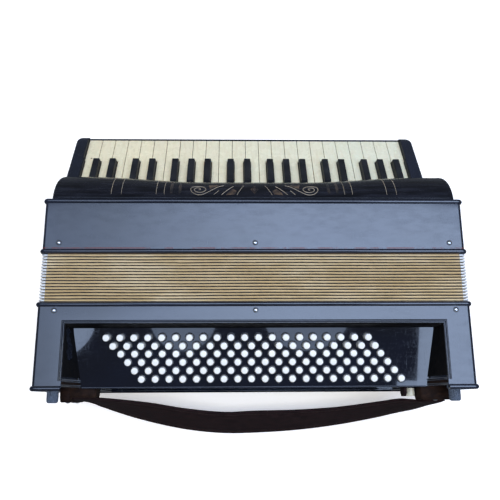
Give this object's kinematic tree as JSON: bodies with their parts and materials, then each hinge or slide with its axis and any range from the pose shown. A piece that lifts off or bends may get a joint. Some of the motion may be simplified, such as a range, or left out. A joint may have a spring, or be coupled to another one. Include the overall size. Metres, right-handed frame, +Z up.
{
  "type": "piano accordion",
  "caption": "Piano accordion lying on its back: black casings, curved treble cover, sloping piano keyboard, pleated bellows, bass button board and leather hand strap.",
  "frame": {"origin": "middle of the base of the bounding box, on the surface that the accordion lies on", "axes": "+X along the keyboard towards the low notes, +Y from the bass end to the keyboard, +Z up from the back to the front"},
  "size_m": [0.527, 0.4426, 0.1923],
  "materials": {
    "celluloid": "polished black celluloid, lightly scratched",
    "cover_celluloid": "black celluloid with engraved gilt lines, worn",
    "board_celluloid": "polished near-black celluloid",
    "ivory": "yellowed ivory celluloid, satin",
    "ebony": "black key plastic, satin",
    "cream": "cream plastic",
    "button_white": "polished white plastic",
    "bellows_cloth": "gilt-cream bellows paper and cloth, matt",
    "wood": "plain spruce and poplar",
    "steel": "drawn steel",
    "chrome": "nickel-plated pins and bellows corners",
    "leather": "dark brown stitched leather",
    "rubber": "worn black rubber"
  },
  "bodies": {
    "treble": {"treble_casing": "celluloid", "treble_cover": "cover_celluloid", "keyboard_bed": "celluloid", "key_axle": "steel", "treble_reed_block": "wood", "treble_bellows_frame": "wood", "bellows": "bellows_cloth"},
    "bass": {"bass_casing": "celluloid", "bass_button_board": "board_celluloid", "bass_reed_block": "wood", "bass_bellows_frame": "wood", "bass_strap": "leather"},
    "button_row_1": {"button_row_1": "button_white"},
    "button_row_2": {"button_row_2": "button_white"},
    "button_row_3": {"button_row_3": "button_white"},
    "button_row_4": {"button_row_4": "button_white"},
    "button_row_5": {"button_row_5": "button_white"},
    "button_row_6": {"button_row_6": "button_white"},
    "air_button": {"air_button": "cream"},
    "key_A6": {"key_A6": "ivory"},
    "key_Gs6": {"key_Gs6": "ebony"},
    "key_G6": {"key_G6": "ivory"},
    "key_Fs6": {"key_Fs6": "ebony"},
    "key_F6": {"key_F6": "ivory"},
    "key_E6": {"key_E6": "ivory"},
    "key_Ds6": {"key_Ds6": "ebony"},
    "key_D6": {"key_D6": "ivory"},
    "key_Cs6": {"key_Cs6": "ebony"},
    "key_C6": {"key_C6": "ivory"},
    "key_B5": {"key_B5": "ivory"},
    "key_As5": {"key_As5": "ebony"},
    "key_A5": {"key_A5": "ivory"},
    "key_Gs5": {"key_Gs5": "ebony"},
    "key_G5": {"key_G5": "ivory"},
    "key_Fs5": {"key_Fs5": "ebony"},
    "key_F5": {"key_F5": "ivory"},
    "key_E5": {"key_E5": "ivory"},
    "key_Ds5": {"key_Ds5": "ebony"},
    "key_D5": {"key_D5": "ivory"},
    "key_Cs5": {"key_Cs5": "ebony"},
    "key_C5": {"key_C5": "ivory"},
    "key_B4": {"key_B4": "ivory"},
    "key_As4": {"key_As4": "ebony"},
    "key_A4": {"key_A4": "ivory"},
    "key_Gs4": {"key_Gs4": "ebony"},
    "key_G4": {"key_G4": "ivory"},
    "key_Fs4": {"key_Fs4": "ebony"},
    "key_F4": {"key_F4": "ivory"},
    "key_E4": {"key_E4": "ivory"},
    "key_Ds4": {"key_Ds4": "ebony"},
    "key_D4": {"key_D4": "ivory"},
    "key_Cs4": {"key_Cs4": "ebony"},
    "key_C4": {"key_C4": "ivory"},
    "key_B3": {"key_B3": "ivory"},
    "key_As3": {"key_As3": "ebony"},
    "key_A3": {"key_A3": "ivory"},
    "key_Gs3": {"key_Gs3": "ebony"},
    "key_G3": {"key_G3": "ivory"},
    "key_Fs3": {"key_Fs3": "ebony"},
    "key_F3": {"key_F3": "ivory"}
  },
  "joints": [
    {"name": "bellows_slide", "type": "slide", "parent": "treble", "child": "bass", "axis": [0, -1, 0], "range_m": [0, 0.32], "deforming": ["bellows"]},
    {"name": "button_row_1_press", "type": "slide", "parent": "bass", "child": "button_row_1", "axis": [0, 0.1908, -0.9816], "range_m": [0, 0.0035], "stiffness_N_per_m": 900, "springref_m": -0.004},
    {"name": "button_row_2_press", "type": "slide", "parent": "bass", "child": "button_row_2", "axis": [0, 0.1908, -0.9816], "range_m": [0, 0.0035], "stiffness_N_per_m": 900, "springref_m": -0.004},
    {"name": "button_row_3_press", "type": "slide", "parent": "bass", "child": "button_row_3", "axis": [0, 0.1908, -0.9816], "range_m": [0, 0.0035], "stiffness_N_per_m": 900, "springref_m": -0.004},
    {"name": "button_row_4_press", "type": "slide", "parent": "bass", "child": "button_row_4", "axis": [0, 0.1908, -0.9816], "range_m": [0, 0.0035], "stiffness_N_per_m": 900, "springref_m": -0.004},
    {"name": "button_row_5_press", "type": "slide", "parent": "bass", "child": "button_row_5", "axis": [0, 0.1908, -0.9816], "range_m": [0, 0.0035], "stiffness_N_per_m": 900, "springref_m": -0.004},
    {"name": "button_row_6_press", "type": "slide", "parent": "bass", "child": "button_row_6", "axis": [0, 0.1908, -0.9816], "range_m": [0, 0.0035], "stiffness_N_per_m": 900, "springref_m": -0.004},
    {"name": "air_button_press", "type": "slide", "parent": "bass", "child": "air_button", "axis": [0, 1, 0], "range_m": [0, 0.008], "stiffness_N_per_m": 300, "springref_m": -0.008},
    {"name": "key_A6_press", "type": "hinge", "parent": "treble", "child": "key_A6", "pos_m": [0.00221, 0.10382, 0.08691], "axis": [-1, 0, 0], "range_deg": [0, 2.4], "stiffness_Nm_per_rad": 1, "springref_deg": -5.73},
    {"name": "key_Gs6_press", "type": "hinge", "parent": "treble", "child": "key_Gs6", "pos_m": [0.00221, 0.10382, 0.08691], "axis": [-1, 0, 0], "range_deg": [0, 2.4], "stiffness_Nm_per_rad": 1, "springref_deg": -5.73},
    {"name": "key_G6_press", "type": "hinge", "parent": "treble", "child": "key_G6", "pos_m": [0.00221, 0.10382, 0.08691], "axis": [-1, 0, 0], "range_deg": [0, 2.4], "stiffness_Nm_per_rad": 1, "springref_deg": -5.73},
    {"name": "key_Fs6_press", "type": "hinge", "parent": "treble", "child": "key_Fs6", "pos_m": [0.00221, 0.10382, 0.08691], "axis": [-1, 0, 0], "range_deg": [0, 2.4], "stiffness_Nm_per_rad": 1, "springref_deg": -5.73},
    {"name": "key_F6_press", "type": "hinge", "parent": "treble", "child": "key_F6", "pos_m": [0.00221, 0.10382, 0.08691], "axis": [-1, 0, 0], "range_deg": [0, 2.4], "stiffness_Nm_per_rad": 1, "springref_deg": -5.73},
    {"name": "key_E6_press", "type": "hinge", "parent": "treble", "child": "key_E6", "pos_m": [0.00221, 0.10382, 0.08691], "axis": [-1, 0, 0], "range_deg": [0, 2.4], "stiffness_Nm_per_rad": 1, "springref_deg": -5.73},
    {"name": "key_Ds6_press", "type": "hinge", "parent": "treble", "child": "key_Ds6", "pos_m": [0.00221, 0.10382, 0.08691], "axis": [-1, 0, 0], "range_deg": [0, 2.4], "stiffness_Nm_per_rad": 1, "springref_deg": -5.73},
    {"name": "key_D6_press", "type": "hinge", "parent": "treble", "child": "key_D6", "pos_m": [0.00221, 0.10382, 0.08691], "axis": [-1, 0, 0], "range_deg": [0, 2.4], "stiffness_Nm_per_rad": 1, "springref_deg": -5.73},
    {"name": "key_Cs6_press", "type": "hinge", "parent": "treble", "child": "key_Cs6", "pos_m": [0.00221, 0.10382, 0.08691], "axis": [-1, 0, 0], "range_deg": [0, 2.4], "stiffness_Nm_per_rad": 1, "springref_deg": -5.73},
    {"name": "key_C6_press", "type": "hinge", "parent": "treble", "child": "key_C6", "pos_m": [0.00221, 0.10382, 0.08691], "axis": [-1, 0, 0], "range_deg": [0, 2.4], "stiffness_Nm_per_rad": 1, "springref_deg": -5.73},
    {"name": "key_B5_press", "type": "hinge", "parent": "treble", "child": "key_B5", "pos_m": [0.00221, 0.10382, 0.08691], "axis": [-1, 0, 0], "range_deg": [0, 2.4], "stiffness_Nm_per_rad": 1, "springref_deg": -5.73},
    {"name": "key_As5_press", "type": "hinge", "parent": "treble", "child": "key_As5", "pos_m": [0.00221, 0.10382, 0.08691], "axis": [-1, 0, 0], "range_deg": [0, 2.4], "stiffness_Nm_per_rad": 1, "springref_deg": -5.73},
    {"name": "key_A5_press", "type": "hinge", "parent": "treble", "child": "key_A5", "pos_m": [0.00221, 0.10382, 0.08691], "axis": [-1, 0, 0], "range_deg": [0, 2.4], "stiffness_Nm_per_rad": 1, "springref_deg": -5.73},
    {"name": "key_Gs5_press", "type": "hinge", "parent": "treble", "child": "key_Gs5", "pos_m": [0.00221, 0.10382, 0.08691], "axis": [-1, 0, 0], "range_deg": [0, 2.4], "stiffness_Nm_per_rad": 1, "springref_deg": -5.73},
    {"name": "key_G5_press", "type": "hinge", "parent": "treble", "child": "key_G5", "pos_m": [0.00221, 0.10382, 0.08691], "axis": [-1, 0, 0], "range_deg": [0, 2.4], "stiffness_Nm_per_rad": 1, "springref_deg": -5.73},
    {"name": "key_Fs5_press", "type": "hinge", "parent": "treble", "child": "key_Fs5", "pos_m": [0.00221, 0.10382, 0.08691], "axis": [-1, 0, 0], "range_deg": [0, 2.4], "stiffness_Nm_per_rad": 1, "springref_deg": -5.73},
    {"name": "key_F5_press", "type": "hinge", "parent": "treble", "child": "key_F5", "pos_m": [0.00221, 0.10382, 0.08691], "axis": [-1, 0, 0], "range_deg": [0, 2.4], "stiffness_Nm_per_rad": 1, "springref_deg": -5.73},
    {"name": "key_E5_press", "type": "hinge", "parent": "treble", "child": "key_E5", "pos_m": [0.00221, 0.10382, 0.08691], "axis": [-1, 0, 0], "range_deg": [0, 2.4], "stiffness_Nm_per_rad": 1, "springref_deg": -5.73},
    {"name": "key_Ds5_press", "type": "hinge", "parent": "treble", "child": "key_Ds5", "pos_m": [0.00221, 0.10382, 0.08691], "axis": [-1, 0, 0], "range_deg": [0, 2.4], "stiffness_Nm_per_rad": 1, "springref_deg": -5.73},
    {"name": "key_D5_press", "type": "hinge", "parent": "treble", "child": "key_D5", "pos_m": [0.00221, 0.10382, 0.08691], "axis": [-1, 0, 0], "range_deg": [0, 2.4], "stiffness_Nm_per_rad": 1, "springref_deg": -5.73},
    {"name": "key_Cs5_press", "type": "hinge", "parent": "treble", "child": "key_Cs5", "pos_m": [0.00221, 0.10382, 0.08691], "axis": [-1, 0, 0], "range_deg": [0, 2.4], "stiffness_Nm_per_rad": 1, "springref_deg": -5.73},
    {"name": "key_C5_press", "type": "hinge", "parent": "treble", "child": "key_C5", "pos_m": [0.00221, 0.10382, 0.08691], "axis": [-1, 0, 0], "range_deg": [0, 2.4], "stiffness_Nm_per_rad": 1, "springref_deg": -5.73},
    {"name": "key_B4_press", "type": "hinge", "parent": "treble", "child": "key_B4", "pos_m": [0.00221, 0.10382, 0.08691], "axis": [-1, 0, 0], "range_deg": [0, 2.4], "stiffness_Nm_per_rad": 1, "springref_deg": -5.73},
    {"name": "key_As4_press", "type": "hinge", "parent": "treble", "child": "key_As4", "pos_m": [0.00221, 0.10382, 0.08691], "axis": [-1, 0, 0], "range_deg": [0, 2.4], "stiffness_Nm_per_rad": 1, "springref_deg": -5.73},
    {"name": "key_A4_press", "type": "hinge", "parent": "treble", "child": "key_A4", "pos_m": [0.00221, 0.10382, 0.08691], "axis": [-1, 0, 0], "range_deg": [0, 2.4], "stiffness_Nm_per_rad": 1, "springref_deg": -5.73},
    {"name": "key_Gs4_press", "type": "hinge", "parent": "treble", "child": "key_Gs4", "pos_m": [0.00221, 0.10382, 0.08691], "axis": [-1, 0, 0], "range_deg": [0, 2.4], "stiffness_Nm_per_rad": 1, "springref_deg": -5.73},
    {"name": "key_G4_press", "type": "hinge", "parent": "treble", "child": "key_G4", "pos_m": [0.00221, 0.10382, 0.08691], "axis": [-1, 0, 0], "range_deg": [0, 2.4], "stiffness_Nm_per_rad": 1, "springref_deg": -5.73},
    {"name": "key_Fs4_press", "type": "hinge", "parent": "treble", "child": "key_Fs4", "pos_m": [0.00221, 0.10382, 0.08691], "axis": [-1, 0, 0], "range_deg": [0, 2.4], "stiffness_Nm_per_rad": 1, "springref_deg": -5.73},
    {"name": "key_F4_press", "type": "hinge", "parent": "treble", "child": "key_F4", "pos_m": [0.00221, 0.10382, 0.08691], "axis": [-1, 0, 0], "range_deg": [0, 2.4], "stiffness_Nm_per_rad": 1, "springref_deg": -5.73},
    {"name": "key_E4_press", "type": "hinge", "parent": "treble", "child": "key_E4", "pos_m": [0.00221, 0.10382, 0.08691], "axis": [-1, 0, 0], "range_deg": [0, 2.4], "stiffness_Nm_per_rad": 1, "springref_deg": -5.73},
    {"name": "key_Ds4_press", "type": "hinge", "parent": "treble", "child": "key_Ds4", "pos_m": [0.00221, 0.10382, 0.08691], "axis": [-1, 0, 0], "range_deg": [0, 2.4], "stiffness_Nm_per_rad": 1, "springref_deg": -5.73},
    {"name": "key_D4_press", "type": "hinge", "parent": "treble", "child": "key_D4", "pos_m": [0.00221, 0.10382, 0.08691], "axis": [-1, 0, 0], "range_deg": [0, 2.4], "stiffness_Nm_per_rad": 1, "springref_deg": -5.73},
    {"name": "key_Cs4_press", "type": "hinge", "parent": "treble", "child": "key_Cs4", "pos_m": [0.00221, 0.10382, 0.08691], "axis": [-1, 0, 0], "range_deg": [0, 2.4], "stiffness_Nm_per_rad": 1, "springref_deg": -5.73},
    {"name": "key_C4_press", "type": "hinge", "parent": "treble", "child": "key_C4", "pos_m": [0.00221, 0.10382, 0.08691], "axis": [-1, 0, 0], "range_deg": [0, 2.4], "stiffness_Nm_per_rad": 1, "springref_deg": -5.73},
    {"name": "key_B3_press", "type": "hinge", "parent": "treble", "child": "key_B3", "pos_m": [0.00221, 0.10382, 0.08691], "axis": [-1, 0, 0], "range_deg": [0, 2.4], "stiffness_Nm_per_rad": 1, "springref_deg": -5.73},
    {"name": "key_As3_press", "type": "hinge", "parent": "treble", "child": "key_As3", "pos_m": [0.00221, 0.10382, 0.08691], "axis": [-1, 0, 0], "range_deg": [0, 2.4], "stiffness_Nm_per_rad": 1, "springref_deg": -5.73},
    {"name": "key_A3_press", "type": "hinge", "parent": "treble", "child": "key_A3", "pos_m": [0.00221, 0.10382, 0.08691], "axis": [-1, 0, 0], "range_deg": [0, 2.4], "stiffness_Nm_per_rad": 1, "springref_deg": -5.73},
    {"name": "key_Gs3_press", "type": "hinge", "parent": "treble", "child": "key_Gs3", "pos_m": [0.00221, 0.10382, 0.08691], "axis": [-1, 0, 0], "range_deg": [0, 2.4], "stiffness_Nm_per_rad": 1, "springref_deg": -5.73},
    {"name": "key_G3_press", "type": "hinge", "parent": "treble", "child": "key_G3", "pos_m": [0.00221, 0.10382, 0.08691], "axis": [-1, 0, 0], "range_deg": [0, 2.4], "stiffness_Nm_per_rad": 1, "springref_deg": -5.73},
    {"name": "key_Fs3_press", "type": "hinge", "parent": "treble", "child": "key_Fs3", "pos_m": [0.00221, 0.10382, 0.08691], "axis": [-1, 0, 0], "range_deg": [0, 2.4], "stiffness_Nm_per_rad": 1, "springref_deg": -5.73},
    {"name": "key_F3_press", "type": "hinge", "parent": "treble", "child": "key_F3", "pos_m": [0.00221, 0.10382, 0.08691], "axis": [-1, 0, 0], "range_deg": [0, 2.4], "stiffness_Nm_per_rad": 1, "springref_deg": -5.73}
  ]
}
